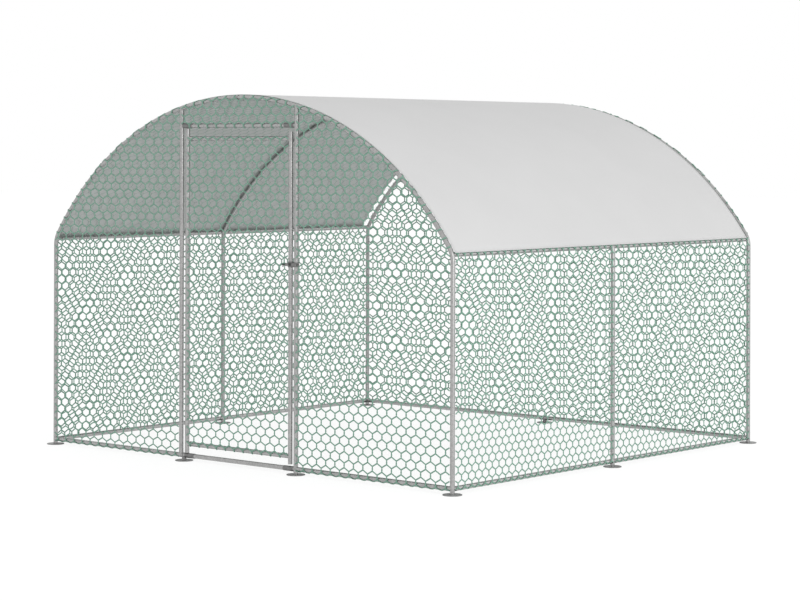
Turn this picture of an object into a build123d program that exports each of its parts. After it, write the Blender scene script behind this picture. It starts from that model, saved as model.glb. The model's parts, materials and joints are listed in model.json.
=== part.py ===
from build123d import *
import os
from math import asin, atan, atan2, cos, degrees, radians, sin, sqrt

# Walk-in tunnel coop. Millimetres, +X to the latch side of the door, +Y to the rear, +Z up.
# The origin is on the ground, in the middle of the footprint.

# Round tube of the whole frame
tube_diameter = 25.0
tube_wall = 1.2

# Frame, measured between tube axes
frame_width = 3000.0
frame_length = 2750.0
eave_height = 1202.0
apex_height = 2007.0
eave_bend_radius = 120.0
arch_leg = 45.0
base_rail_height = 31.0

# Tube joints: a spigot inside, a coped end outside and a set screw
joint_gap = 0.3
spigot_clearance = 0.3
spigot_length = 30.0
coupler_reach = 60.0
screw_inset = 18.0
screw_diameter = 4.0
screw_clearance = 0.2
screw_head_diameter = 9.0
screw_head_height = 3.0

# Foot plates
foot_diameter = 100.0
foot_thickness = 4.0
foot_spigot_height = 95.0
foot_screw_height = 83.0

# Doorway
hinge_post_x = -445.0
latch_post_x = 427.0
header_height = 1855.0
sleeve_wall = 1.4
sleeve_clearance = 0.1
sleeve_length = 70.0
sleeve_setback = 2.0
buffer_height = 1046.0

# Door
hinge_gap = 21.0
door_top_drop = 71.0
door_bottom_rise = 65.0
stile_top_tail = 37.0
stile_bottom_tail = 42.0

# Door pivots
pivot_diameter = 10.0
pivot_clearance = 0.05
pivot_length = 18.0
pivot_end_gap = 1.0
pivot_seat_gap = 0.3
pivot_lift_gap = 2.0
pivot_collar = 2.0
pivot_plug_length = 30.0

# Sliding bolt, its guide on the latch stile and its keeper on the latch post
bolt_height = 1115.0
bolt_diameter = 8.0
bolt_clearance = 0.05
bolt_throw = 16.0
bolt_nose_chamfer = 1.0
bolt_cover = 4.0
bolt_standoff = 1.5
bolt_handle_diameter = 6.0
bolt_handle_drop = 14.0
bolt_handle_margin = 3.0
guide_length = 24.0
guide_offset = 3.0
clamp_wall = 3.0
clamp_clearance = 0.1
clamp_height = 30.0
clamp_ear = 9.0
clamp_ear_thickness = 8.0
clamp_slit = 2.0
clamp_ear_gap = 1.0
clamp_bolt_diameter = 5.0
clamp_bolt_rise = 10.0
keeper_lead = 12.0
keeper_length = 37.0
keeper_height = 24.0
keeper_clearance = 0.5
keeper_entry_gap = 2.0
notch_margin = 4.0

# Netting: hexagonal gaps with upright sides
net_thickness = 2.0
net_gap = 0.3
net_strand = 4.0
net_edge_gap = 0.5
net_row_pitch = 78.0
net_cell_side = 41.0
gable_cell_width = 136.0
wall_cell_width = 110.0
least_gap_share = 0.1
top_net_lift = 9.0

# Roof
roof_strand_count = 41
roof_net_thickness = 2.0
cover_thickness = 1.0
cover_edge_inset = 3.0
cover_rear_inset = 40.0
cover_eave_overlap = 4.0

# Values worked out from the sizes above
tube_radius = tube_diameter / 2
bore_radius = tube_radius - tube_wall
spigot_radius = bore_radius - spigot_clearance
spigot_reach = tube_radius + spigot_length
screw_reach = tube_radius + screw_inset
half_width = frame_width / 2
half_length = frame_length / 2
rise = apex_height - eave_height
arch_radius = (half_width**2 + rise**2) / (2 * rise)
arch_centre_z = apex_height - arch_radius
bend_x = half_width - eave_bend_radius
bend_z = arch_centre_z + sqrt((arch_radius - eave_bend_radius) ** 2 - bend_x**2)
bend_angle = degrees(atan2(bend_z - arch_centre_z, bend_x))
post_top = bend_z - arch_leg
eave_x = bend_x + sqrt(eave_bend_radius**2 - (eave_height - bend_z) ** 2)
clamp_radius = tube_radius + clamp_wall
hinge_x = hinge_post_x + tube_diameter + hinge_gap
hinge_foot_x = (hinge_post_x + hinge_x) / 2
latch_x = latch_post_x - 2 * clamp_radius - clamp_ear - clamp_ear_gap
door_top = header_height - door_top_drop
door_bottom = base_rail_height + door_bottom_rise
sleeve_radius = tube_radius + sleeve_clearance + sleeve_wall
collar_bottom = base_rail_height + sleeve_radius + pivot_seat_gap
hinge_stile_bottom = collar_bottom + pivot_collar
hinge_stile_top = header_height - sleeve_radius - pivot_lift_gap
pivot_radius = pivot_diameter / 2
bolt_radius = bolt_diameter / 2
bolt_y = -half_length - clamp_radius - bolt_standoff - bolt_radius
bolt_block_front = bolt_y - bolt_radius - bolt_cover
bolt_block_half = bolt_radius + bolt_cover
roof_net_radius = arch_radius + tube_radius + net_gap
cover_radius = roof_net_radius + roof_net_thickness + net_gap
cover_edge_z = eave_height + tube_radius - cover_eave_overlap
gable_cell = (gable_cell_width, net_row_pitch, net_cell_side)
wall_cell = (wall_cell_width, net_row_pitch, net_cell_side)

RIGHT = Vector(1, 0, 0)
LEFT = Vector(-1, 0, 0)
REAR = Vector(0, 1, 0)
FRONT = Vector(0, -1, 0)
UP = Vector(0, 0, 1)
DOWN = Vector(0, 0, -1)

SIDES = {"left": -1, "right": 1}
ROWS = {"front": -half_length, "middle": 0.0, "rear": half_length}
BAYS = {"front": (-half_length, 0.0), "rear": (0.0, half_length)}

frame_screw_planes = []
door_screw_planes = []

os.makedirs("parts", exist_ok=True)


def write(piece, name):
    """Label a finished piece and save it as its own node."""
    piece.part.label = name
    export_step(piece.part, f"parts/{name}.step")


def rod(origin, direction, radius, length, mode=Mode.ADD):
    """Round bar in the part that is being built."""
    with BuildSketch(Plane(origin=origin, z_dir=direction)) as section:
        Circle(radius)
    extrude(section.sketch, amount=length, mode=mode)


def block(low, high, mode=Mode.ADD):
    """Square block between two corners in the part that is being built."""
    with BuildSketch(Plane.XY.offset(low[2])) as section:
        with Locations(((low[0] + high[0]) / 2, (low[1] + high[1]) / 2)):
            Rectangle(high[0] - low[0], high[1] - low[1])
    extrude(section.sketch, amount=high[2] - low[2], mode=mode)


def screw_seat(axis_point, outward, planes):
    """Drill for one set screw and keep its seat for the group of screws."""
    seat = Plane(origin=Vector(axis_point) + outward * tube_radius, z_dir=outward)
    hole_radius = screw_diameter / 2 + screw_clearance
    rod(seat.origin, -outward, hole_radius, tube_wall + spigot_clearance, Mode.SUBTRACT)
    planes.append(seat)


def straight_tube(start, end, spigots=(), copes=(), screws=(), planes=frame_screw_planes):
    """Tube between two axis points, with welded spigots, coped ends and screw holes."""
    run = Vector(end) - Vector(start)
    with BuildPart() as tube:
        rod(start, run, tube_radius, run.length)
        for point, direction in spigots:
            rod(point, direction, spigot_radius, spigot_reach)
        rod(start, run, bore_radius, run.length, Mode.SUBTRACT)
        for cope in copes:
            add(cope, mode=Mode.SUBTRACT)
        for point, outward in screws:
            screw_seat(point, outward, planes)
    return tube


def end_screws(start, end, outward):
    """Set screws near both ends of a rail, each over the spigot inside it."""
    inset = (Vector(end) - Vector(start)).normalized() * screw_reach
    return [(Vector(start) + inset, outward), (Vector(end) - inset, outward)]


def post_cope(x, y, top=apex_height):
    """Room that an upright tube takes out of what meets it."""
    with BuildPart() as cope:
        rod((x, y, 0), UP, tube_radius + joint_gap, top)
    return cope.part


def corner_miter(x, y, along, across):
    """Room beyond the diagonal of a corner, taken out of the rail that leaves the corner."""
    start = Vector(x, y) + along * joint_gap
    with BuildPart() as miter:
        with BuildSketch(Plane.XY.offset(base_rail_height - tube_diameter)):
            with Locations(start):
                Polygon((0, 0), across * tube_diameter, (along + across) * tube_diameter, align=None)
        extrude(amount=2 * tube_diameter)
    return miter.part


def gable_plane(y):
    """Upright plane across the coop, with its own X along +X and its own Y along +Z."""
    return Plane.XZ.offset(-y)


def arch_z(x):
    """Height of the arch axis at a place across the coop."""
    return arch_centre_z + sqrt(arch_radius**2 - x**2)


def swept_arch(side, y, radius, bore, apex_gap):
    """Half arch from its leg to the apex, in the part that is being built."""
    crown = 90 - bend_angle - degrees(apex_gap / arch_radius)
    with BuildLine(gable_plane(y)) as path:
        Line((side * half_width, post_top), (side * half_width, bend_z))
        CenterArc((side * bend_x, bend_z), eave_bend_radius, 90 - side * 90, side * bend_angle)
        CenterArc((0, arch_centre_z), arch_radius, 90 - side * (90 - bend_angle), side * crown)
    with BuildSketch(Plane(origin=(side * half_width, y, post_top), z_dir=UP)) as section:
        Circle(radius)
        if bore:
            Circle(bore, mode=Mode.SUBTRACT)
    sweep(section.sketch, path=path.line)


def arch_cope(side, y):
    """Room that a half arch takes out of what meets it."""
    with BuildPart() as cope:
        swept_arch(side, y, tube_radius + joint_gap, 0, 0)
    return cope.part


# Wall posts

for row, y in ROWS.items():
    for side_name, side in SIDES.items():
        inward = LEFT * side
        spigots = []
        if y <= 0:
            spigots.append(((side * half_width, y, base_rail_height), REAR))
        if y >= 0:
            spigots.append(((side * half_width, y, base_rail_height), FRONT))
        if y != 0:
            spigots.append(((side * half_width, y, base_rail_height), inward))
        post = straight_tube(
            (side * half_width, y, foot_thickness),
            (side * half_width, y, post_top),
            spigots=spigots,
            screws=[
                ((side * half_width, y, foot_screw_height), inward),
                ((side * half_width, y, post_top - spigot_length / 2), inward),
            ],
        )
        write(post, f"post_{row}_{side_name}")

# Arches

arch_copes = {(row, side): arch_cope(side, y) for row, y in ROWS.items() for side in SIDES.values()}
doorway_posts = {"left": hinge_post_x, "right": latch_post_x}
coupler_screw_angle = degrees(coupler_reach / 2 / arch_radius)

for row, y in ROWS.items():
    for side_name, side in SIDES.items():
        with BuildPart() as arch:
            swept_arch(side, y, tube_radius, bore_radius, joint_gap / 2)
            leg_end = Vector(side * half_width, y, post_top)
            rod(leg_end, UP, bore_radius, arch_leg / 2)
            rod(leg_end, DOWN, spigot_radius, spigot_length)
            eave_point = (side * eave_x, y, eave_height)
            if y <= 0:
                rod(eave_point, REAR, spigot_radius, spigot_reach)
            if y >= 0:
                rod(eave_point, FRONT, spigot_radius, spigot_reach)
            if row == "front":
                post_x = doorway_posts[side_name]
                rod((post_x, y, arch_z(post_x)), DOWN, spigot_radius, spigot_reach)
            rod((0, y - spigot_reach, apex_height), REAR, bore_radius, 2 * spigot_reach, Mode.SUBTRACT)
            screw_angle = radians(90 - side * coupler_screw_angle)
            toward_apex = Vector(cos(screw_angle), 0, sin(screw_angle))
            screw_point = Vector(0, y, arch_centre_z) + toward_apex * arch_radius
            screw_seat(screw_point, REAR if row == "front" else FRONT, frame_screw_planes)
        write(arch, f"arch_{row}_{side_name}")

coupler_angle = degrees(coupler_reach / arch_radius)
with BuildPart() as apex_couplers:
    for row, y in ROWS.items():
        with BuildLine(gable_plane(y)) as bow:
            CenterArc((0, arch_centre_z), arch_radius, 90 - coupler_angle, 2 * coupler_angle)
        with BuildSketch(Plane(origin=bow.line @ 0, z_dir=bow.line % 0)):
            Circle(spigot_radius)
        sweep(path=bow.line)
        if y <= 0:
            rod((0, y, apex_height), REAR, spigot_radius, spigot_reach)
        if y >= 0:
            rod((0, y, apex_height), FRONT, spigot_radius, spigot_reach)
write(apex_couplers, "apex_couplers")

# Rails along the coop

for bay, (near, far) in BAYS.items():
    near_row = "front" if bay == "front" else "middle"
    far_row = "middle" if bay == "front" else "rear"
    ends = (0, near, apex_height), (0, far, apex_height)
    ridge = straight_tube(
        *ends,
        copes=[arch_copes[row, side] for row in (near_row, far_row) for side in SIDES.values()],
        screws=end_screws(*ends, DOWN),
    )
    write(ridge, f"ridge_rail_{bay}")
    for side_name, side in SIDES.items():
        inward = LEFT * side
        ends = (side * eave_x, near, eave_height), (side * eave_x, far, eave_height)
        eave = straight_tube(
            *ends,
            copes=[arch_copes[near_row, side], arch_copes[far_row, side]],
            screws=end_screws(*ends, inward),
        )
        write(eave, f"eave_rail_{side_name}_{bay}")
        ends = (side * half_width, near, base_rail_height), (side * half_width, far, base_rail_height)
        corner_y = near if bay == "front" else far
        from_corner = REAR if bay == "front" else FRONT
        base = straight_tube(
            *ends,
            copes=[
                post_cope(side * half_width, near),
                post_cope(side * half_width, far),
                corner_miter(side * half_width, corner_y, from_corner, inward),
            ],
            screws=end_screws(*ends, inward),
        )
        write(base, f"base_rail_{side_name}_{bay}")

# Rails across the coop

stem_top = base_rail_height + tube_radius

for side_name, side in SIDES.items():
    ends = (0, half_length, base_rail_height), (side * half_width, half_length, base_rail_height)
    rear_rail = straight_tube(
        *ends,
        copes=[
            post_cope(0, half_length),
            post_cope(side * half_width, half_length),
            corner_miter(side * half_width, half_length, LEFT * side, FRONT),
        ],
        screws=end_screws(*ends, FRONT),
    )
    write(rear_rail, f"base_rail_rear_{side_name}")

ends = (-half_width, -half_length, base_rail_height), (hinge_foot_x, -half_length, base_rail_height)
front_left_rail = straight_tube(
    *ends,
    spigots=[((hinge_post_x, -half_length, base_rail_height), UP)],
    copes=[
        post_cope(-half_width, -half_length),
        corner_miter(-half_width, -half_length, RIGHT, REAR),
        post_cope(hinge_foot_x, -half_length, stem_top),
    ],
    screws=end_screws(*ends, REAR),
)
write(front_left_rail, "base_rail_front_left")

ends = (latch_post_x, -half_length, base_rail_height), (half_width, -half_length, base_rail_height)
front_right_rail = straight_tube(
    *ends,
    copes=[
        post_cope(latch_post_x, -half_length),
        post_cope(half_width, -half_length),
        corner_miter(half_width, -half_length, LEFT, REAR),
    ],
    screws=end_screws(*ends, REAR),
)
write(front_right_rail, "base_rail_front_right")

# Doorway: header, threshold, sleeves and the two posts

with BuildPart() as lower_pivot_bore:
    bore_bottom = collar_bottom - pivot_length - pivot_end_gap
    rod((hinge_x, -half_length, bore_bottom), UP, pivot_radius + pivot_clearance, collar_bottom - bore_bottom)

with BuildPart() as upper_pivot_bore:
    bore_depth = pivot_length + pivot_end_gap
    rod((hinge_x, -half_length, hinge_stile_top), UP, pivot_radius + pivot_clearance, bore_depth)

threshold_ends = (
    (hinge_foot_x, -half_length, base_rail_height),
    (latch_post_x, -half_length, base_rail_height),
)
header_ends = (hinge_post_x, -half_length, header_height), (latch_post_x, -half_length, header_height)

threshold = straight_tube(
    *threshold_ends,
    copes=[
        post_cope(hinge_foot_x, -half_length),
        post_cope(latch_post_x, -half_length),
        lower_pivot_bore.part,
    ],
)
write(threshold, "threshold_rail")

header = straight_tube(
    *header_ends,
    copes=[
        post_cope(hinge_post_x, -half_length),
        post_cope(latch_post_x, -half_length),
        upper_pivot_bore.part,
    ],
)
write(header, "header_rail")

sleeve_start = tube_radius + sleeve_setback
with BuildPart() as door_frame_sleeves:
    for first, last in (threshold_ends, header_ends):
        rod(Vector(first) + RIGHT * sleeve_start, RIGHT, sleeve_radius, sleeve_length)
        rod(Vector(last) + LEFT * sleeve_start, LEFT, sleeve_radius, sleeve_length)
        span = last[0] - first[0]
        rod(first, RIGHT, tube_radius + sleeve_clearance, span, Mode.SUBTRACT)
    add(lower_pivot_bore.part, mode=Mode.SUBTRACT)
    add(upper_pivot_bore.part, mode=Mode.SUBTRACT)
write(door_frame_sleeves, "door_frame_sleeves")

with BuildPart() as front_left_rail_cope:
    cope_start = (hinge_post_x - tube_diameter, -half_length, base_rail_height)
    rod(cope_start, RIGHT, tube_radius + joint_gap, 2 * tube_diameter)

top_screw_drop = tube_radius + screw_inset
hinge_post = straight_tube(
    (hinge_post_x, -half_length, base_rail_height),
    (hinge_post_x, -half_length, arch_z(hinge_post_x)),
    spigots=[((hinge_post_x, -half_length, header_height), RIGHT)],
    copes=[
        front_left_rail_cope.part,
        post_cope(hinge_foot_x, -half_length, stem_top + joint_gap),
        arch_copes["front", -1],
        upper_pivot_bore.part,
    ],
    screws=[
        ((hinge_post_x, -half_length, base_rail_height + screw_reach), REAR),
        ((hinge_post_x, -half_length, arch_z(hinge_post_x) - top_screw_drop), RIGHT),
    ],
)
write(hinge_post, "hinge_post")

latch_post = straight_tube(
    (latch_post_x, -half_length, foot_thickness),
    (latch_post_x, -half_length, arch_z(latch_post_x)),
    spigots=[
        ((latch_post_x, -half_length, header_height), LEFT),
        ((latch_post_x, -half_length, base_rail_height), LEFT),
        ((latch_post_x, -half_length, base_rail_height), RIGHT),
    ],
    copes=[arch_copes["front", 1]],
    screws=[
        ((latch_post_x, -half_length, foot_screw_height), LEFT),
        ((latch_post_x, -half_length, buffer_height), LEFT),
        ((latch_post_x, -half_length, arch_z(latch_post_x) - top_screw_drop), RIGHT),
    ],
)
write(latch_post, "latch_post")

# Feet

with BuildPart() as post_feet:
    foot_places = [(side * half_width, y) for y in ROWS.values() for side in SIDES.values()]
    foot_places.append((latch_post_x, -half_length))
    for x, y in foot_places:
        rod((x, y, 0), UP, foot_diameter / 2, foot_thickness)
        rod((x, y, foot_thickness), UP, spigot_radius, foot_spigot_height)
write(post_feet, "post_feet")


def tee_foot(x, y):
    """Foot plate with a short stem and a spigot to each side for the base rails."""
    with BuildPart() as foot:
        rod((x, y, 0), UP, foot_diameter / 2, foot_thickness)
        rod((x, y, foot_thickness), UP, tube_radius, stem_top - foot_thickness)
        rod((x - spigot_reach, y, base_rail_height), RIGHT, spigot_radius, 2 * spigot_reach)
        add(lower_pivot_bore.part, mode=Mode.SUBTRACT)
    return foot


write(tee_foot(hinge_foot_x, -half_length), "hinge_foot")
write(tee_foot(0, half_length), "rear_foot")

# Door frame

door_rail_ends = {
    "top": ((hinge_x, -half_length, door_top), (latch_x, -half_length, door_top)),
    "bottom": ((hinge_x, -half_length, door_bottom), (latch_x, -half_length, door_bottom)),
}
door_screw_sides = {"top": DOWN, "bottom": UP}
door_copes = [post_cope(hinge_x, -half_length), post_cope(latch_x, -half_length)]

for place, ends in door_rail_ends.items():
    door_rail = straight_tube(
        *ends,
        copes=door_copes,
        screws=end_screws(*ends, door_screw_sides[place]),
        planes=door_screw_planes,
    )
    write(door_rail, f"door_{place}_rail")

hinge_stile = straight_tube(
    (hinge_x, -half_length, hinge_stile_bottom),
    (hinge_x, -half_length, hinge_stile_top),
    spigots=[(ends[0], RIGHT) for ends in door_rail_ends.values()],
    screws=[
        ((hinge_x, -half_length, hinge_stile_bottom + pivot_plug_length / 2), REAR),
        ((hinge_x, -half_length, hinge_stile_top - pivot_plug_length / 2), REAR),
    ],
    planes=door_screw_planes,
)
write(hinge_stile, "door_hinge_stile")

latch_stile = straight_tube(
    (latch_x, -half_length, door_bottom - stile_bottom_tail),
    (latch_x, -half_length, door_top + stile_top_tail),
    spigots=[(ends[1], LEFT) for ends in door_rail_ends.values()],
)
write(latch_stile, "door_latch_stile")

with BuildPart() as lower_pivot:
    rod((hinge_x, -half_length, collar_bottom - pivot_length), UP, pivot_radius, pivot_length)
    rod((hinge_x, -half_length, collar_bottom), UP, tube_radius, pivot_collar)
    rod((hinge_x, -half_length, hinge_stile_bottom), UP, spigot_radius, pivot_plug_length)
write(lower_pivot, "lower_pivot")

with BuildPart() as upper_pivot:
    rod((hinge_x, -half_length, hinge_stile_top - pivot_plug_length), UP, spigot_radius, pivot_plug_length)
    rod((hinge_x, -half_length, hinge_stile_top), UP, pivot_radius, pivot_length)
write(upper_pivot, "upper_pivot")

# Bolt guide, bolt and keeper

guide_left = latch_x - guide_length / 2 - guide_offset
guide_right = guide_left + guide_length
clamp_bottom = bolt_height - clamp_height / 2
ear_right = latch_x + clamp_radius + clamp_ear
ear_half = clamp_ear_thickness / 2
clamp_bolt_x = latch_x + clamp_radius + clamp_ear / 2
clamp_bolt_z = bolt_height + clamp_bolt_rise

with BuildPart() as latch_guide:
    rod((latch_x, -half_length, clamp_bottom), UP, clamp_radius, clamp_height)
    block(
        (latch_x, -half_length - ear_half, clamp_bottom),
        (ear_right, -half_length + ear_half, clamp_bottom + clamp_height),
    )
    block(
        (guide_left, bolt_block_front, bolt_height - bolt_block_half),
        (guide_right, -half_length - tube_radius, bolt_height + bolt_block_half),
    )
    rod((latch_x, -half_length, clamp_bottom), UP, tube_radius + clamp_clearance, clamp_height, Mode.SUBTRACT)
    block(
        (latch_x, -half_length - clamp_slit / 2, clamp_bottom),
        (ear_right, -half_length + clamp_slit / 2, clamp_bottom + clamp_height),
        Mode.SUBTRACT,
    )
    rod(
        (clamp_bolt_x, -half_length - ear_half, clamp_bolt_z),
        REAR,
        clamp_bolt_diameter / 2 + screw_clearance,
        clamp_ear_thickness,
        Mode.SUBTRACT,
    )
    rod((guide_left, bolt_y, bolt_height), RIGHT, bolt_radius + bolt_clearance, guide_length, Mode.SUBTRACT)
write(latch_guide, "latch_guide")

keeper_left = latch_post_x - keeper_lead
keeper_right = keeper_left + keeper_length
bolt_tip = keeper_left - keeper_entry_gap
handle_x = guide_left - bolt_throw - bolt_handle_diameter / 2 - bolt_handle_margin
bolt_tail = handle_x - bolt_handle_diameter

with BuildPart() as latch_bolt:
    rod((bolt_tail, bolt_y, bolt_height), RIGHT, bolt_radius, bolt_tip - bolt_tail)
    rod((handle_x, bolt_y, bolt_height), DOWN, bolt_handle_diameter / 2, bolt_handle_drop)
    chamfer(latch_bolt.faces().sort_by(Axis.X)[-1].edges(), bolt_nose_chamfer)
write(latch_bolt, "latch_bolt")

keeper_bottom = bolt_height - keeper_height / 2
with BuildPart() as bolt_keeper:
    rod((latch_post_x, -half_length, keeper_bottom), UP, clamp_radius, keeper_height)
    block(
        (keeper_left, bolt_block_front, bolt_height - bolt_block_half),
        (keeper_right, -half_length - tube_radius, bolt_height + bolt_block_half),
    )
    rod(
        (latch_post_x, -half_length, keeper_bottom),
        UP,
        tube_radius + clamp_clearance,
        keeper_height,
        Mode.SUBTRACT,
    )
    rod((keeper_left, bolt_y, bolt_height), RIGHT, bolt_radius + keeper_clearance, keeper_length, Mode.SUBTRACT)
write(bolt_keeper, "bolt_keeper")

# Screws

shank_length = tube_wall + spigot_clearance / 2


def set_screws(planes):
    """Group of set screws, each seated on its tube, in the part that is being built."""
    with Locations(*planes):
        Cone(
            screw_head_diameter / 2,
            screw_head_diameter / 3,
            screw_head_height,
            align=(Align.CENTER, Align.CENTER, Align.MIN),
        )
        Cylinder(screw_diameter / 2, shank_length, align=(Align.CENTER, Align.CENTER, Align.MAX))


with BuildPart() as frame_screws:
    set_screws(frame_screw_planes)
write(frame_screws, "frame_screws")

with BuildPart() as door_screws:
    set_screws(door_screw_planes)
    ear_front = (clamp_bolt_x, -half_length - ear_half, clamp_bolt_z)
    ear_rear = (clamp_bolt_x, -half_length + ear_half, clamp_bolt_z)
    rod(ear_front, REAR, clamp_bolt_diameter / 2, clamp_ear_thickness)
    rod(ear_front, FRONT, screw_head_diameter / 2, screw_head_height)
    rod(ear_rear, REAR, screw_head_diameter / 2, screw_head_height)
write(door_screws, "door_screws")

# Netting


def gable_outline(left, right, bottom, inset):
    """Part of the gable between two uprights, under the arch axis, in the active sketch."""
    width = half_width - inset
    bend = eave_bend_radius - inset
    with BuildLine() as gable:
        Line((-width, base_rail_height), (width, base_rail_height))
        Line((width, base_rail_height), (width, bend_z))
        CenterArc((bend_x, bend_z), bend, 0, bend_angle)
        CenterArc((0, arch_centre_z), arch_radius - inset, bend_angle, 180 - 2 * bend_angle)
        CenterArc((-bend_x, bend_z), bend, 180 - bend_angle, bend_angle)
        Line((-width, bend_z), (-width, base_rail_height))
    make_face(gable.edges())
    with Locations(((left + right) / 2, (bottom + inset + apex_height) / 2)):
        Rectangle(right - left - 2 * inset, apex_height - bottom - inset, mode=Mode.INTERSECT)


def wall_outline(left, right, bottom, top, inset):
    """Straight panel between two uprights in the active sketch."""
    with Locations(((left + right) / 2, (bottom + top) / 2)):
        Rectangle(right - left - 2 * inset, top - bottom - 2 * inset)


def hexagon(cell_width, row_pitch, cell_side):
    """Corners of one gap, half a strand inside its cell."""
    cell_rise = row_pitch - cell_side
    slope = atan(cell_rise / (cell_width / 2))
    half = (cell_width - net_strand) / 2
    peak = cell_side / 2 + cell_rise - net_strand / 2 / cos(slope)
    shoulder = peak - half * cell_rise / (cell_width / 2)
    return [(0, peak), (half, shoulder), (half, -shoulder), (0, -peak), (-half, -shoulder), (-half, shoulder)]


def net_gaps(inside, box, cell, notch):
    """Gaps of a net in staggered rows that fill the panel's width, cut where the panel's edge crosses."""
    left, right, bottom, top = box
    nominal_width, row_pitch, cell_side = cell
    half_cells = round(2 * (right - left) / nominal_width)
    cell_width = 2 * (right - left) / half_cells
    corners = hexagon(cell_width, row_pitch, cell_side)
    half, peak = corners[1][0], corners[0][1]
    whole = []
    crossed = []
    for row in range(int((top - bottom) / row_pitch) + 2):
        for column in range(-1, half_cells // 2 + 2):
            x = left + (column + row % 2 / 2) * cell_width
            y = bottom + row * row_pitch
            hits = [inside.is_inside(Vector(x + across, y + up)) for across, up in corners]
            beside_notch = (
                notch
                and notch[0] - net_strand < x + half
                and x - half < notch[1] + net_strand
                and notch[2] - net_strand < y + peak
                and y - peak < notch[3] + net_strand
            )
            if all(hits) and not beside_notch:
                whole.append((x, y))
            elif any(hits):
                crossed.append((x, y))
    with BuildSketch() as gaps:
        with Locations(*crossed):
            Polygon(*corners, align=None)
        add(inside, mode=Mode.INTERSECT)
        with Locations(*whole):
            Polygon(*corners, align=None)
    least_gap = least_gap_share * cell_width * row_pitch
    return [gap for gap in gaps.faces() if gap.area > least_gap]


def notched(outline, inset, notch):
    """Panel of a net, drawn in by an inset from its outline and from its notch."""
    with BuildSketch() as panel:
        outline(inset)
        if notch:
            left, right, bottom, top = notch
            margin = 2 * (inset - net_edge_gap)
            with Locations(((left + right) / 2, (bottom + top) / 2)):
                Rectangle(right - left + margin, top - bottom + margin, mode=Mode.SUBTRACT)
    return panel.face()


def net(plane, outward, outline, box, cell, notch=None):
    """Flat net as one holed face, with a strand all round its edge."""
    inside = notched(outline, net_edge_gap + net_strand, notch)
    gaps = net_gaps(inside, box, cell, notch)
    edge = notched(outline, net_edge_gap, notch)
    face = Face(edge.outer_wire(), [gap.outer_wire() for gap in gaps])
    with BuildPart() as panel:
        extrude(plane * face, amount=outward * net_thickness)
    return panel


def gable_net(y_side, left, right, bottom, notch=None):
    """Net on the outside of a gable, from one upright to the next."""
    plane = gable_plane(y_side * (half_length + tube_radius + net_gap))
    return net(
        plane,
        -y_side,
        lambda inset: gable_outline(left, right, bottom, inset),
        (left, right, bottom, apex_height),
        gable_cell,
        notch,
    )


keeper_notch = (
    latch_post_x,
    max(latch_post_x + clamp_radius, keeper_right) + notch_margin,
    keeper_bottom - notch_margin,
    keeper_bottom + keeper_height + notch_margin,
)
write(gable_net(-1, -half_width, hinge_post_x, base_rail_height), "net_front_left")
write(gable_net(-1, latch_post_x, half_width, base_rail_height, keeper_notch), "net_front_right")
write(gable_net(-1, hinge_post_x, latch_post_x, header_height + top_net_lift), "net_front_top")
write(gable_net(1, -half_width, 0, base_rail_height), "net_rear_left")
write(gable_net(1, 0, half_width, base_rail_height), "net_rear_right")

for side_name, side in SIDES.items():
    wall_x = side * (half_width + tube_radius + net_gap)
    wall_plane = Plane(origin=(wall_x, 0, 0), x_dir=REAR, z_dir=RIGHT)
    for bay, (near, far) in BAYS.items():
        panel_box = (near, far, base_rail_height, eave_height)
        wall_net = net(
            wall_plane, side, lambda inset: wall_outline(*panel_box, inset), panel_box, wall_cell
        )
        write(wall_net, f"net_{side_name}_{bay}")

guide_notch = (
    guide_left - notch_margin,
    latch_x,
    clamp_bottom - notch_margin,
    clamp_bottom + clamp_height + notch_margin,
)
door_box = (hinge_x, latch_x, door_bottom, door_top)
door_net = net(
    gable_plane(-half_length - tube_radius - net_gap),
    1,
    lambda inset: wall_outline(*door_box, inset),
    door_box,
    gable_cell,
    guide_notch,
)
write(door_net, "door_net")

# Roof: the long strands of the net over the arches, and the cover over the net

roof_reach = half_length - cover_edge_inset
cover_rear = half_length - cover_rear_inset


def roof_edge_angle(radius):
    """Angle of the roof's lower edge, about the centre of the arches."""
    return degrees(asin((cover_edge_z - arch_centre_z) / radius))


with BuildPart() as roof_net:
    strand_radius = roof_net_radius + roof_net_thickness / 2
    strand_angle = roof_edge_angle(roof_net_radius) + degrees(net_strand / roof_net_radius)
    with BuildSketch(gable_plane(-roof_reach)):
        with Locations((0, arch_centre_z)):
            with PolarLocations(
                strand_radius, roof_strand_count, strand_angle, 180 - 2 * strand_angle, endpoint=True
            ):
                Rectangle(roof_net_thickness, net_strand)
    extrude(amount=-2 * roof_reach)
write(roof_net, "roof_net")

with BuildPart() as roof_cover:
    edge_angle = roof_edge_angle(cover_radius)
    span = 180 - 2 * edge_angle
    with BuildSketch(gable_plane(-roof_reach)):
        with BuildLine():
            under = CenterArc((0, arch_centre_z), cover_radius, edge_angle, span)
            over = CenterArc((0, arch_centre_z), cover_radius + cover_thickness, edge_angle, span)
            Line(under @ 0, over @ 0)
            Line(under @ 1, over @ 1)
        make_face()
    extrude(amount=-roof_reach - cover_rear)
write(roof_cover, "roof_cover")
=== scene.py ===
import json
import math

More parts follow.
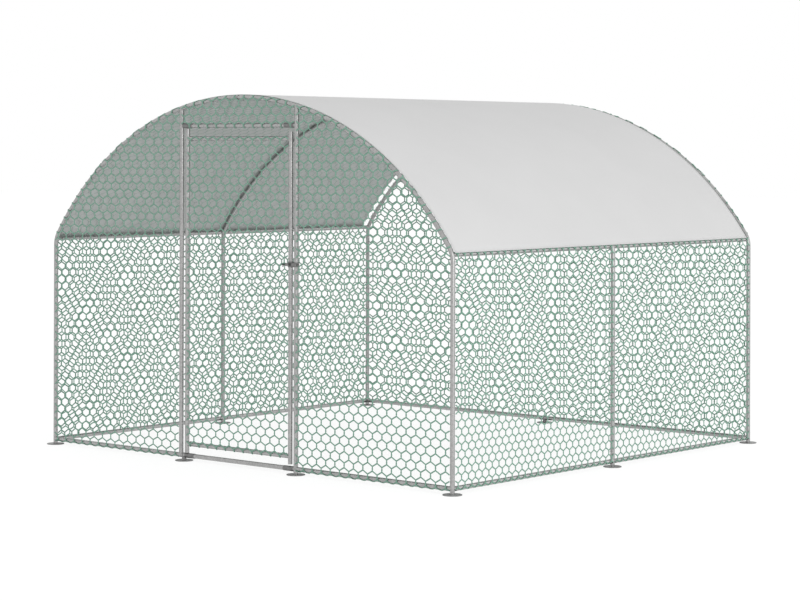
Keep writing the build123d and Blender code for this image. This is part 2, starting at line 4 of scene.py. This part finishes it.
import bpy
import numpy as np
from mathutils import Euler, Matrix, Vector


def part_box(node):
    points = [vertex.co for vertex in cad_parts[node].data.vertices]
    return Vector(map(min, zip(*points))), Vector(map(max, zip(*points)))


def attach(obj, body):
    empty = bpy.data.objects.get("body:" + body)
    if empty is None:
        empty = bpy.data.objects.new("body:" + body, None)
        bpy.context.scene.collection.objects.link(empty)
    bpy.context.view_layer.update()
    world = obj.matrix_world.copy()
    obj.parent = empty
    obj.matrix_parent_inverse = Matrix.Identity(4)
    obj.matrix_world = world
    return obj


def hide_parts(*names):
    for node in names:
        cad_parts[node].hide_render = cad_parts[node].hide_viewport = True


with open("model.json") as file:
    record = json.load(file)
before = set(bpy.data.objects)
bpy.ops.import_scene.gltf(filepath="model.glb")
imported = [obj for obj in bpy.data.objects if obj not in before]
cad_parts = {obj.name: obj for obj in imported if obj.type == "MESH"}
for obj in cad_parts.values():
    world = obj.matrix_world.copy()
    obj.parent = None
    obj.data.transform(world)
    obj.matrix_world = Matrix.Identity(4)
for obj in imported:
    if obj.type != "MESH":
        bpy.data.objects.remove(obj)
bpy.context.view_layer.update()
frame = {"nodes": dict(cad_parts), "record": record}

# Frame of the coop, in metres, as the solids have it
TUBE = 0.0125
HALF_W, HALF_L = 1.5, 1.375
BASE_Z, EAVE_Z, APEX_Z = 0.031, 1.202, 2.007
BEND_R = 0.12
RISE = APEX_Z - EAVE_Z
ARCH_R = (HALF_W**2 + RISE**2) / (2 * RISE)
ARCH_Z = APEX_Z - ARCH_R
BEND_X = HALF_W - BEND_R
BEND_Z = ARCH_Z + math.sqrt((ARCH_R - BEND_R) ** 2 - BEND_X**2)
BEND_ANGLE = math.atan2(BEND_Z - ARCH_Z, BEND_X)
HINGE_POST, LATCH_POST, HEADER_Z = -0.445, 0.427, 1.855
HINGE_X, LATCH_X = -0.399, 0.386
DOOR_TOP, DOOR_BOTTOM = 1.784, 0.096
BOLT_Z = 1.115

# Netting: rows by pitch and height of the first one, half cells across each panel, the share of
# a row that is twisted, and how far wires are made beyond the height of their panel
FRONT_ROWS, REAR_ROWS, WALL_ROWS = (0.042, 0.0436), (0.045, 0.0436), (0.038, 0.048)
ROOF_ROWS = (0.042, 0.0)
LEFT_CELLS, RIGHT_CELLS, TOP_CELLS, DOOR_CELLS = 30, 33, 25, 23
REAR_CELLS, WALL_CELLS, ROOF_CELLS = 43, 50, 80
TWIST_SHARE = 0.61
SPARE_HEIGHT = 0.06

# Wire: half its width and thickness, its sides, and how far a twist sways across and out of the
# panel; the wire under the roof is round and sways across alone
WIRE_WIDE, WIRE_THICK, WIRE_SIDES = 0.0038, 0.0014, 6
SWAY_ACROSS, SWAY_OUT = 0.0014, 0.0007
ROOF_WIRE, ROOF_WIRE_SIDES, ROOF_SWAY = 0.00048, 4, 0.0008
ROOF_END_GAP = 0.06

# How far wires and cover lie from the tubes' axes, how far wires go round the tubes at their
# ends, and how they come down to the uprights that they are tied to
WIRE_REACH = TUBE + WIRE_THICK + SWAY_OUT + 0.0001
ROOF_REACH = TUBE + 0.0013
COVER_REACH = TUBE + 0.0026
QUARTER = math.pi / 2
BASE_WRAP, WALL_WRAP, EAVE_WRAP = 0.75 * QUARTER, 0.42 * QUARTER, 0.5 * QUARTER
REAR_SHARE = 1.35
ROUND_STEP, ROUND_NEAR = 0.004, 0.002
TIE_FAR, TIE_ANGLE = 0.025, math.radians(22)
TIE_NEAR, TIE_DIP = WIRE_REACH * math.sin(TIE_ANGLE), WIRE_REACH * (1 - math.cos(TIE_ANGLE))

# Room round the bolt's keeper and guide, from their upright: to the left, to the right, and half
# the height
KEEPER_ROOM, GUIDE_ROOM = (0.03, 0.031, 0.018), (0.022, 0.03, 0.022)

# Cover: hem, points round and along, undersides and tops over the inner face, and ripple
HEM = 0.03
COVER_POINTS = (129, 97)
HEM_SKINS, SHEET_SKINS = (0.00007, 0.00093), (0.0002, 0.0006)
EDGE_ANGLE_GAP = 0.0002
RIPPLE, RIPPLE_ALONG, RIPPLE_ROUND = 0.00005, 23.0, 31.0

# Stage
FLOOR_HALF, FLOOR_Z = 60.0, -0.0005
FLOOR_WHITE, FLOOR_GLOW, FLOOR_VEIL = 0.9, 0.86, 0.22
WORLD_LIGHT = 0.74


# Materials


def new_material(name):
    """Empty node material and its Principled shader."""
    mat = bpy.data.materials.new(name)
    mat.use_nodes = True
    return mat, mat.node_tree, mat.node_tree.nodes["Principled BSDF"]


def node(tree, kind, **values):
    """New node with its input values, by socket name."""
    made = tree.nodes.new(kind)
    for key, value in values.items():
        made.inputs[key.replace("_", " ")].default_value = value
    return made


def ramp(tree, source, low, high, low_at=0.0, high_at=1.0):
    """Colour that runs from low to high over a value."""
    made = tree.nodes.new("ShaderNodeValToRGB")
    made.color_ramp.elements[0].position = low_at
    made.color_ramp.elements[0].color = (*low, 1)
    made.color_ramp.elements[1].position = high_at
    made.color_ramp.elements[1].color = (*high, 1)
    tree.links.new(source, made.inputs["Fac"])
    return made.outputs["Color"]


def mixed(tree, kind, fac, a, b):
    """Blend of two colours."""
    made = tree.nodes.new("ShaderNodeMix")
    made.data_type = "RGBA"
    made.blend_type = kind
    made.inputs["Factor"].default_value = fac
    tree.links.new(a, made.inputs["A"])
    tree.links.new(b, made.inputs["B"])
    return made.outputs["Result"]


def spread(tree, source, low, high):
    """Value from 0 to 1 spread between two numbers."""
    made = node(tree, "ShaderNodeMapRange", To_Min=low, To_Max=high)
    tree.links.new(source, made.inputs["Value"])
    return made.outputs["Result"]


def bumped(tree, shader, height, strength, distance):
    """Bump of a shader from a height."""
    made = node(tree, "ShaderNodeBump", Strength=strength, Distance=distance)
    tree.links.new(height, made.inputs["Height"])
    tree.links.new(made.outputs["Normal"], shader.inputs["Normal"])


def object_coordinates(tree):
    return tree.nodes.new("ShaderNodeTexCoord").outputs["Object"]


def zinc(name, low, high, metallic, rough_low, rough_high):
    """Hot-dip zinc: spangles, broad clouds and fine scratches."""
    mat, tree, shader = new_material(name)
    place = object_coordinates(tree)
    spangle = node(tree, "ShaderNodeTexVoronoi", Scale=95.0)
    cloud = node(tree, "ShaderNodeTexNoise", Scale=7.0, Detail=4.0, Roughness=0.6)
    grit = node(tree, "ShaderNodeTexNoise", Scale=420.0, Detail=3.0)
    for made in (spangle, cloud, grit):
        tree.links.new(place, made.inputs["Vector"])
    facet = tree.nodes.new("ShaderNodeSeparateColor")
    tree.links.new(spangle.outputs["Color"], facet.inputs["Color"])
    grain = ramp(tree, facet.outputs["Red"], low, high)
    haze = ramp(tree, cloud.outputs["Fac"], (0.86, 0.87, 0.87), (1.0, 1.0, 1.0), 0.3, 0.65)
    tree.links.new(mixed(tree, "MULTIPLY", 0.8, grain, haze), shader.inputs["Base Color"])
    tree.links.new(spread(tree, facet.outputs["Green"], rough_low, rough_high), shader.inputs["Roughness"])
    shader.inputs["Metallic"].default_value = metallic
    shader.inputs["Specular IOR Level"].default_value = 0.3
    bumped(tree, shader, grit.outputs["Fac"], 0.12, 0.0004)
    return mat


def coated_wire(name, low, high):
    """Green plastic coating on wire, a little uneven in colour and gloss."""
    mat, tree, shader = new_material(name)
    place = object_coordinates(tree)
    patch = node(tree, "ShaderNodeTexNoise", Scale=5.0, Detail=3.0)
    skin = node(tree, "ShaderNodeTexNoise", Scale=900.0, Detail=2.0)
    for made in (patch, skin):
        tree.links.new(place, made.inputs["Vector"])
    tree.links.new(ramp(tree, patch.outputs["Fac"], low, high, 0.3, 0.7), shader.inputs["Base Color"])
    tree.links.new(spread(tree, skin.outputs["Fac"], 0.35, 0.55), shader.inputs["Roughness"])
    shader.inputs["Specular IOR Level"].default_value = 0.15
    bumped(tree, shader, skin.outputs["Fac"], 0.1, 0.0002)
    return mat


def cover_cloth(name, low, high):
    """Coated woven sheet: tapes that cross, with painted shade in the hollows between them, soft clouds
    and a matt film.
    """
    mat, tree, shader = new_material(name)
    place = object_coordinates(tree)
    uv = tree.nodes.new("ShaderNodeUVMap")
    uv.uv_map = "Weave"
    cloud = node(tree, "ShaderNodeTexNoise", Scale=2.2, Detail=5.0, Roughness=0.55)
    tree.links.new(place, cloud.inputs["Vector"])
    heights = []
    for direction in ("X", "Y"):
        wave = node(tree, "ShaderNodeTexWave", Scale=52.0, Distortion=0.4, Detail=1.0)
        wave.bands_direction = direction
        tree.links.new(uv.outputs["UV"], wave.inputs["Vector"])
        heights.append(wave.outputs["Fac"])
    weave = tree.nodes.new("ShaderNodeMath")
    weave.operation = "MAXIMUM"
    tree.links.new(heights[0], weave.inputs[0])
    tree.links.new(heights[1], weave.inputs[1])
    film = ramp(tree, cloud.outputs["Fac"], low, high, 0.25, 0.75)
    # Painted shade: the colour is a little darker in the hollows between the tapes, where the weave is low
    hollow_shade = ramp(tree, weave.outputs["Value"], (0.965, 0.965, 0.965), (1.0, 1.0, 1.0), 0.2, 0.9)
    tree.links.new(mixed(tree, "MULTIPLY", 1.0, film, hollow_shade), shader.inputs["Base Color"])
    tree.links.new(spread(tree, cloud.outputs["Fac"], 0.62, 0.74), shader.inputs["Roughness"])
    shader.inputs["Specular IOR Level"].default_value = 0.25
    bumped(tree, shader, weave.outputs["Value"], 0.25, 0.0003)
    return mat


tube_zinc = zinc("tube_zinc", (0.38, 0.376, 0.374), (0.46, 0.456, 0.453), 0.85, 0.24, 0.34)
plate_zinc = zinc("plate_zinc", (0.27, 0.268, 0.267), (0.34, 0.338, 0.337), 0.35, 0.42, 0.56)
dark_zinc = zinc("dark_zinc", (0.2, 0.198, 0.197), (0.26, 0.258, 0.256), 0.45, 0.36, 0.5)
bolt_zinc = zinc("bolt_zinc", (0.05, 0.055, 0.053), (0.085, 0.092, 0.088), 0.5, 0.32, 0.46)
screw_zinc = zinc("screw_zinc", (0.14, 0.155, 0.148), (0.22, 0.24, 0.23), 0.5, 0.34, 0.5)
green_wire = coated_wire("green_wire", (0.235, 0.425, 0.33), (0.255, 0.45, 0.355))
roof_cloth = cover_cloth("roof_cloth", (0.72, 0.72, 0.72), (0.75, 0.75, 0.75))

MATERIALS = {
    "galvanised_tube": tube_zinc,
    "foot_plate": plate_zinc,
    "green_wire": green_wire,
    "cover_cloth": roof_cloth,
    "dark_fitting": dark_zinc,
    "bolt_steel": bolt_zinc,
    "screw_zinc": screw_zinc,
}
for subpart in frame["record"]["subparts"]:
    solid = frame["nodes"][subpart["node"]]
    solid.data.materials.clear()
    solid.data.materials.append(MATERIALS[subpart["material_slot"]])


# Wire netting: each wire runs up the panel, twisted in turn with its left and its right neighbour


class Panel:
    """Flat or bent field of netting. Points are (across, up) and lie over the tubes' axes."""

    def __init__(self, across, up, half_cells, rows, shift=0, ties=(), edges=(), reach=WIRE_REACH):
        self.across = across
        self.up = up
        self.half_cells = half_cells
        self.rows = rows
        self.shift = shift
        self.ties = ties
        self.edges = edges
        self.reach = reach

    def surface(self, u, v):
        """Axis point, normal, direction across and direction up at each place."""
        raise NotImplementedError

    def place(self, u, v, w):
        """Points and surface normals, bent round the edge tubes beyond the edges; and what is kept."""
        gap = self.tie_gap(u)
        kept = gap >= TIE_NEAR
        w = w - TIE_DIP * np.clip((TIE_FAR - gap) / (TIE_FAR - TIE_NEAR), 0, 1)
        most = np.zeros(len(u))
        out_u, out_v = np.zeros(len(u)), np.zeros(len(u))
        for edge in self.edges:
            beyond, edge_u, edge_v, limit = edge(u, v)
            kept &= beyond <= limit * self.reach
            further = beyond > most
            most = np.where(further, beyond, most)
            out_u, out_v = np.where(further, edge_u, out_u), np.where(further, edge_v, out_v)
        w = np.where(most > 0, np.minimum(w, 0.0), w)
        axis, normal, along, upward = self.surface(u - most * out_u, v - most * out_v)
        outward = along * out_u[:, None] + upward * out_v[:, None]
        angle = (most / self.reach)[:, None]
        facing = normal * np.cos(angle) + outward * np.sin(angle)
        return axis + facing * (self.reach + w)[:, None], facing, kept

    def tie_gap(self, u):
        """How far each place is from the nearest upright that the wires are tied to."""
        gap = np.full(len(u), 1.0)
        for upright in self.ties:
            gap = np.minimum(gap, np.abs(u - upright))
        return gap

    def near_edge(self, u, v):
        """How far each place lies beyond its nearest edge, below zero inside."""
        far = np.where(self.tie_gap(u) < TIE_FAR, 0.0, -1.0)
        for edge in self.edges:
            far = np.maximum(far, edge(u, v)[0])
        return far

    def wire(self, index):
        """Points of one wire from bottom to top: across, up and out of the panel."""
        left, right = self.across
        pitch, start = self.rows
        first = math.floor((self.up[0] - start) / pitch) - 2
        last = math.ceil((self.up[1] - start) / pitch) + 2
        rows = np.arange(first, last)
        odd = (rows + index + self.shift) % 2
        centre = left + (index + odd) * (right - left) / self.half_cells
        side = 1.0 - 2.0 * odd
        turn, sway, sway_out = self.twist()
        lift = np.linspace(-0.5, 0.5, len(turn)) * TWIST_SHARE * pitch
        across = centre[:, None] + side[:, None] * sway * np.cos(turn)
        up = start + rows[:, None] * pitch + lift
        out = side[:, None] * sway_out * np.sin(turn)
        return across.ravel(), up.ravel(), out.ravel()

    def twist(self):
        """Angles of one twist, and how far it sways across and out."""
        return np.linspace(0, 2 * math.pi, 5), SWAY_ACROSS, SWAY_OUT

    def runs(self):
        """All kept runs of wire as pairs of points and normals."""
        found = []
        for index in range(self.half_cells):
            u, v, w = self.finer(*self.wire(index))
            points, normals, kept = self.place(u, v, w)
            kept &= (v >= self.up[0] - SPARE_HEIGHT) & (v <= self.up[1] + SPARE_HEIGHT)
            starts = np.flatnonzero(np.diff(np.r_[False, kept].astype(int)) == 1)
            ends = np.flatnonzero(np.diff(np.r_[kept, False].astype(int)) == -1) + 1
            for start, end in zip(starts, ends):
                if end - start > 2:
                    found.append((points[start:end], normals[start:end]))
        return found

    def finer(self, u, v, w):
        """The same wire with close points where it goes round a tube."""
        step = np.hypot(np.diff(u), np.diff(v))
        far = self.near_edge(u, v)
        close = np.maximum(far[1:], far[:-1]) > -ROUND_NEAR
        count = np.where(close, np.ceil(step / ROUND_STEP), 1).astype(int)
        at = np.concatenate([i + np.arange(n) / n for i, n in enumerate(count)] + [[len(count)]])
        index = np.arange(len(u))
        return np.interp(at, index, u), np.interp(at, index, v), np.interp(at, index, w)


class Gable(Panel):
    """Netting across the coop, on its front or rear."""

    facing = -1.0

    def surface(self, u, v):
        axis = np.stack([u, np.full(len(u), self.facing * HALF_L), v], 1)
        ones = np.ones(len(u))[:, None]
        return axis, ones * (0, self.facing, 0), ones * (1, 0, 0), ones * (0, 0, 1)


class RearGable(Gable):
    facing = 1.0


class Wall(Panel):
    """Netting along one long side, bent in to the eave rail at its top."""

    side = 1.0

    def surface(self, u, v):
        lean = np.arcsin(np.clip((v - BEND_Z) / BEND_R, 0, 0.9))
        x = self.side * (BEND_X + BEND_R * np.cos(lean))
        axis = np.stack([x, u, v], 1)
        zero = np.zeros(len(u))
        normal = np.stack([self.side * np.cos(lean), zero, np.sin(lean)], 1)
        upward = np.stack([-self.side * np.sin(lean), zero, np.cos(lean)], 1)
        return axis, normal, np.ones(len(u))[:, None] * (0, 1, 0), upward


class LeftWall(Wall):
    side = -1.0


class Roof(Panel):
    """Netting over the arches, under the cover. Up is the way round the arch from its apex."""

    def surface(self, u, v):
        angle = v / ARCH_R
        zero = np.zeros(len(u))
        normal = np.stack([np.sin(angle), zero, np.cos(angle)], 1)
        upward = np.stack([np.cos(angle), zero, -np.sin(angle)], 1)
        axis = np.stack([zero, u, ARCH_Z + zero], 1) + normal * ARCH_R
        return axis, normal, np.ones(len(u))[:, None] * (0, 1, 0), upward

    def twist(self):
        return np.zeros(2), ROOF_SWAY, 0.0


def straight(height, sign, limit):
    """Edge along a level tube: sign 1 for the upper edge of a panel, -1 for the lower one."""

    def edge(u, v):
        count = len(u)
        return sign * (v - height), np.zeros(count), np.full(count, float(sign)), np.full(count, limit)

    return edge


def arch_edge(u, v):
    """Edge along the corner posts, the bends and the arch."""
    side, across = np.sign(u), np.abs(u)
    crown = np.arctan2(v - ARCH_Z, across) >= BEND_ANGLE
    bend = ~crown & (v > BEND_Z)
    from_x, from_z = np.where(crown, 0, BEND_X), np.where(crown, ARCH_Z, BEND_Z)
    reach = np.hypot(across - from_x, v - from_z)
    beyond = np.where(crown, reach - ARCH_R, np.where(bend, reach - BEND_R, across - HALF_W))
    upright = ~crown & ~bend
    out_u = side * np.where(upright, 1.0, (across - from_x) / np.maximum(reach, 1e-6))
    out_v = np.where(upright, 0.0, (v - from_z) / np.maximum(reach, 1e-6))
    return beyond, out_u, out_v, np.where(upright, QUARTER / 2, QUARTER)


def rear_arch_edge(u, v):
    """The same edge on the rear gable, where no cover lies and the wires go further round."""
    beyond, out_u, out_v, limit = arch_edge(u, v)
    return beyond, out_u, out_v, REAR_SHARE * limit


def notch(upright, room):
    """Place round a fitting at the bolt's height, where no wire is."""
    left, right, half_height = room

    def edge(u, v):
        inside = (u > upright - left) & (u < upright + right) & (np.abs(v - BOLT_Z) < half_height)
        zero = np.zeros(len(u))
        return np.where(inside, 1e-6, -1.0), zero, zero, np.where(inside, 0.0, 1.0)

    return edge


def wire_mesh(name, runs, wide, thick, sides):
    """Mesh of wires along runs of points, with capped ends."""
    angle = 2 * math.pi * np.arange(sides) / sides
    corners = np.stack([wide * np.cos(angle), thick * np.sin(angle)], 1)
    k, after = np.arange(sides), (np.arange(sides) + 1) % sides
    points, quads, caps, base = [], [], [], 0
    for place, normal in runs:
        tangent = np.gradient(place, axis=0)
        tangent /= np.linalg.norm(tangent, axis=1)[:, None]
        side = np.cross(tangent, normal)
        side /= np.linalg.norm(side, axis=1)[:, None]
        out = np.cross(side, tangent)
        ring = place[:, None] + corners[:, :1] * side[:, None] + corners[:, 1:] * out[:, None]
        points.append(ring.reshape(-1, 3))
        count = len(place)
        low = base + sides * np.arange(count - 1)[:, None]
        high = low + sides
        quads.append(np.stack([low + k, low + after, high + after, high + k], 2).reshape(-1, 4))
        caps += [base + k[::-1], base + sides * (count - 1) + k]
        base += sides * count
    points, quads, caps = np.concatenate(points), np.concatenate(quads), np.array(caps)
    starts = np.r_[np.arange(0, quads.size, 4), quads.size + np.arange(0, caps.size, sides)]
    mesh = bpy.data.meshes.new(name)
    mesh.vertices.add(len(points))
    mesh.vertices.foreach_set("co", points.ravel())
    mesh.loops.add(quads.size + caps.size)
    mesh.loops.foreach_set("vertex_index", np.r_[quads.ravel(), caps.ravel()])
    mesh.polygons.add(len(starts))
    mesh.polygons.foreach_set("loop_start", starts)
    mesh.polygons.foreach_set("use_smooth", np.ones(len(starts), bool))
    mesh.update(calc_edges=True)
    return mesh


def netting(name, panel, nodes, body, wide=WIRE_WIDE, thick=WIRE_THICK, sides=WIRE_SIDES):
    """Piece of netting that stands for its solid and rides on a body."""
    mesh = wire_mesh(name, panel.runs(), wide, thick, sides)
    mesh.materials.append(green_wire)
    piece = bpy.data.objects.new(name, mesh)
    bpy.context.scene.collection.objects.link(piece)
    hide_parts(*nodes)
    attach(piece, body)


base_edge = straight(BASE_Z, -1, BASE_WRAP)
wall_edge = straight(BASE_Z, -1, WALL_WRAP)
eave_edge = straight(EAVE_Z, 1, EAVE_WRAP)

netting(
    "wire_front_left",
    Gable(
        (-HALF_W, HINGE_POST), (BASE_Z, APEX_Z), LEFT_CELLS, FRONT_ROWS, 1, (-HALF_W, HINGE_POST),
        [arch_edge, base_edge],
    ),
    ["net_front_left"], "frame",
)
netting(
    "wire_front_right",
    Gable(
        (LATCH_POST, HALF_W), (BASE_Z, APEX_Z), RIGHT_CELLS, FRONT_ROWS, 0, (LATCH_POST, HALF_W),
        [arch_edge, base_edge, notch(LATCH_POST, KEEPER_ROOM)],
    ),
    ["net_front_right"], "frame",
)
netting(
    "wire_front_top",
    Gable(
        (HINGE_POST, LATCH_POST), (HEADER_Z, APEX_Z), TOP_CELLS, FRONT_ROWS, 1, (HINGE_POST, LATCH_POST),
        [arch_edge, straight(HEADER_Z, -1, QUARTER)],
    ),
    ["net_front_top"], "frame",
)
netting(
    "wire_door",
    Gable(
        (HINGE_X, LATCH_X), (DOOR_BOTTOM, DOOR_TOP), DOOR_CELLS, FRONT_ROWS, 0, (HINGE_X, LATCH_X),
        [
            straight(DOOR_BOTTOM, -1, BASE_WRAP), straight(DOOR_TOP, 1, BASE_WRAP),
            notch(LATCH_X, GUIDE_ROOM),
        ],
    ),
    ["door_net"], "door",
)
netting(
    "wire_rear_left",
    RearGable(
        (-HALF_W, 0.0), (BASE_Z, APEX_Z), REAR_CELLS, REAR_ROWS, 1, (-HALF_W,),
        [rear_arch_edge, base_edge],
    ),
    ["net_rear_left"], "frame",
)
netting(
    "wire_rear_right",
    RearGable(
        (0.0, HALF_W), (BASE_Z, APEX_Z), REAR_CELLS, REAR_ROWS, 0, (HALF_W,),
        [rear_arch_edge, base_edge],
    ),
    ["net_rear_right"], "frame",
)
for side_name, wall in (("left", LeftWall), ("right", Wall)):
    netting(
        f"wire_{side_name}_front",
        wall(
            (-HALF_L, 0.0), (BASE_Z, EAVE_Z), WALL_CELLS, WALL_ROWS, 1, (-HALF_L, 0.0),
            [wall_edge, eave_edge],
        ),
        [f"net_{side_name}_front"], "frame",
    )
    netting(
        f"wire_{side_name}_rear",
        wall(
            (0.0, HALF_L), (BASE_Z, EAVE_Z), WALL_CELLS, WALL_ROWS, 1, (0.0, HALF_L),
            [wall_edge, eave_edge],
        ),
        [f"net_{side_name}_rear"], "frame",
    )

low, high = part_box("roof_net")
roof_end = ARCH_R * math.atan2(high.x, low.z - ARCH_Z) - ROOF_END_GAP
netting(
    "wire_roof",
    Roof((low.y, high.y), (-roof_end, roof_end), ROOF_CELLS, ROOF_ROWS, reach=ROOF_REACH),
    ["roof_net"], "frame", ROOF_WIRE, ROOF_WIRE, ROOF_WIRE_SIDES,
)


# Roof cover: one stretched sheet with a folded hem on all four sides


def roof_cover():
    """Sheet over the arches, hardly rippled, that ends short of the rear arch as its solid does."""
    low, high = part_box("roof_cover")
    inner = ARCH_R + COVER_REACH
    half = math.acos((low.z - ARCH_Z) / inner) - EDGE_ANGLE_GAP
    arc = np.linspace(-half, half, COVER_POINTS[0])
    arc = np.sort(np.r_[arc, half - HEM / inner, HEM / inner - half])
    along = np.sort(np.r_[np.linspace(low.y, high.y, COVER_POINTS[1]), low.y + HEM, high.y - HEM])
    a, y = np.meshgrid(arc, along)
    edge = np.minimum(np.minimum(y - low.y, high.y - y), (half - np.abs(a)) * inner)
    band = edge <= HEM + 1e-6
    ripple = RIPPLE * np.sin(y * RIPPLE_ALONG) * np.sin(a * RIPPLE_ROUND)

    def skin(height):
        radius = inner + height
        return np.stack([radius * np.sin(a), y, ARCH_Z + radius * np.cos(a)], 2).reshape(-1, 3)

    bottom = skin(np.where(band, HEM_SKINS[0], SHEET_SKINS[0]) + ripple)
    top = skin(np.where(band, HEM_SKINS[1], SHEET_SKINS[1]) + ripple)
    rows, columns = a.shape
    index = np.arange(rows * columns).reshape(rows, columns)
    cells = np.stack([index[:-1, :-1], index[:-1, 1:], index[1:, 1:], index[1:, :-1]], 2).reshape(-1, 4)
    rim = np.r_[index[0, :], index[1:, -1], index[-1, -2::-1], index[-2:0:-1, 0]]
    after, under = np.roll(rim, -1), len(top)
    sides = np.stack([rim, rim + under, after + under, after], 1)
    faces = np.concatenate([cells, cells[:, ::-1] + under, sides])
    mesh = bpy.data.meshes.new("cover_sheet")
    mesh.from_pydata(np.concatenate([top, bottom]).tolist(), [], faces.tolist())
    mesh.polygons.foreach_set("use_smooth", np.ones(len(faces), bool))
    weave = mesh.uv_layers.new(name="Weave")
    flat = np.stack([(a * inner).ravel(), y.ravel()], 1)
    flat = np.concatenate([flat, flat])
    corner = np.empty(len(mesh.loops), int)
    mesh.loops.foreach_get("vertex_index", corner)
    weave.data.foreach_set("uv", flat[corner].ravel())
    mesh.materials.append(roof_cloth)
    mesh.update()
    piece = bpy.data.objects.new("cover_sheet", mesh)
    bpy.context.scene.collection.objects.link(piece)
    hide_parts("roof_cover")
    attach(piece, "frame")


roof_cover()


# Stage: white floor and surroundings, soft light and the camera


def background_ray(tree):
    """1 for camera, mirror and transmitted rays, which show the background, and 0 for the rest."""
    path = tree.nodes.new("ShaderNodeLightPath")
    value = path.outputs["Is Camera Ray"]
    for name in ("Is Glossy Ray", "Is Transmission Ray"):
        most = tree.nodes.new("ShaderNodeMath")
        most.operation = "MAXIMUM"
        tree.links.new(value, most.inputs[0])
        tree.links.new(path.outputs[name], most.inputs[1])
        value = most.outputs["Value"]
    return value


def make_world():
    """White surroundings that light evenly."""
    world = bpy.data.worlds.new("studio")
    world.use_nodes = True
    tree = world.node_tree
    light = tree.nodes["Background"]
    light.inputs["Color"].default_value = (1, 1, 1, 1)
    light.inputs["Strength"].default_value = WORLD_LIGHT
    seen = node(tree, "ShaderNodeBackground", Color=(1, 1, 1, 1), Strength=1.0)
    mix = tree.nodes.new("ShaderNodeMixShader")
    tree.links.new(background_ray(tree), mix.inputs["Fac"])
    tree.links.new(light.outputs["Background"], mix.inputs[1])
    tree.links.new(seen.outputs["Background"], mix.inputs[2])
    tree.links.new(mix.outputs["Shader"], tree.nodes["World Output"].inputs["Surface"])
    bpy.context.scene.world = world


def make_floor():
    """White floor that keeps the coop's shadow."""
    mat = bpy.data.materials.new("floor")
    mat.use_nodes = True
    tree = mat.node_tree
    tree.nodes.remove(tree.nodes["Principled BSDF"])
    matt = node(tree, "ShaderNodeBsdfDiffuse", Color=(FLOOR_WHITE, FLOOR_WHITE, FLOOR_WHITE, 1))
    glow = node(tree, "ShaderNodeEmission", Color=(1, 1, 1, 1), Strength=FLOOR_GLOW)
    veil = node(tree, "ShaderNodeBsdfDiffuse", Color=(FLOOR_VEIL, FLOOR_VEIL, FLOOR_VEIL, 1))
    both = tree.nodes.new("ShaderNodeAddShader")
    tree.links.new(glow.outputs["Emission"], both.inputs[0])
    tree.links.new(veil.outputs["BSDF"], both.inputs[1])
    mix = tree.nodes.new("ShaderNodeMixShader")
    tree.links.new(background_ray(tree), mix.inputs["Fac"])
    tree.links.new(matt.outputs["BSDF"], mix.inputs[1])
    tree.links.new(both.outputs["Shader"], mix.inputs[2])
    tree.links.new(mix.outputs["Shader"], tree.nodes["Material Output"].inputs["Surface"])
    mesh = bpy.data.meshes.new("floor")
    square = ((-1, -1), (1, -1), (1, 1), (-1, 1))
    corners = [(FLOOR_HALF * x, FLOOR_HALF * y, FLOOR_Z) for x, y in square]
    mesh.from_pydata(corners, [], [(0, 1, 2, 3)])
    mesh.materials.append(mat)
    floor = bpy.data.objects.new("floor", mesh)
    bpy.context.scene.collection.objects.link(floor)


def soft_light(name, place, target, size, power):
    """Round area lamp that faces a target."""
    lamp = bpy.data.lights.new(name, "AREA")
    lamp.shape = "DISK"
    lamp.size = size
    lamp.energy = power
    made = bpy.data.objects.new(name, lamp)
    made.location = place
    made.rotation_euler = (Vector(place) - Vector(target)).to_track_quat("Z", "Y").to_euler()
    bpy.context.scene.collection.objects.link(made)


def make_camera():
    """Camera as fitted to the photograph."""
    lens = bpy.data.cameras.new("camera")
    lens.sensor_fit = "HORIZONTAL"
    lens.sensor_width = 36.0
    lens.lens = 103.5
    lens.shift_x = -0.0006
    lens.shift_y = -0.1895
    lens.clip_end = 200.0
    camera = bpy.data.objects.new("camera", lens)
    camera.location = (8.790, -10.264, 1.730)
    camera.rotation_euler = Euler((math.radians(90), math.radians(-0.15), math.radians(40.67)))
    bpy.context.scene.collection.objects.link(camera)
    bpy.context.scene.camera = camera


make_world()
make_floor()
soft_light("key", (10.2, -4.2, 3.2), (0, 0, 1), 8.0, 250.0)
soft_light("rim", (7.8, 9.1, 4.4), (0, 0, 1), 10.0, 130.0)
make_camera()
bpy.context.scene.view_settings.view_transform = "Standard"
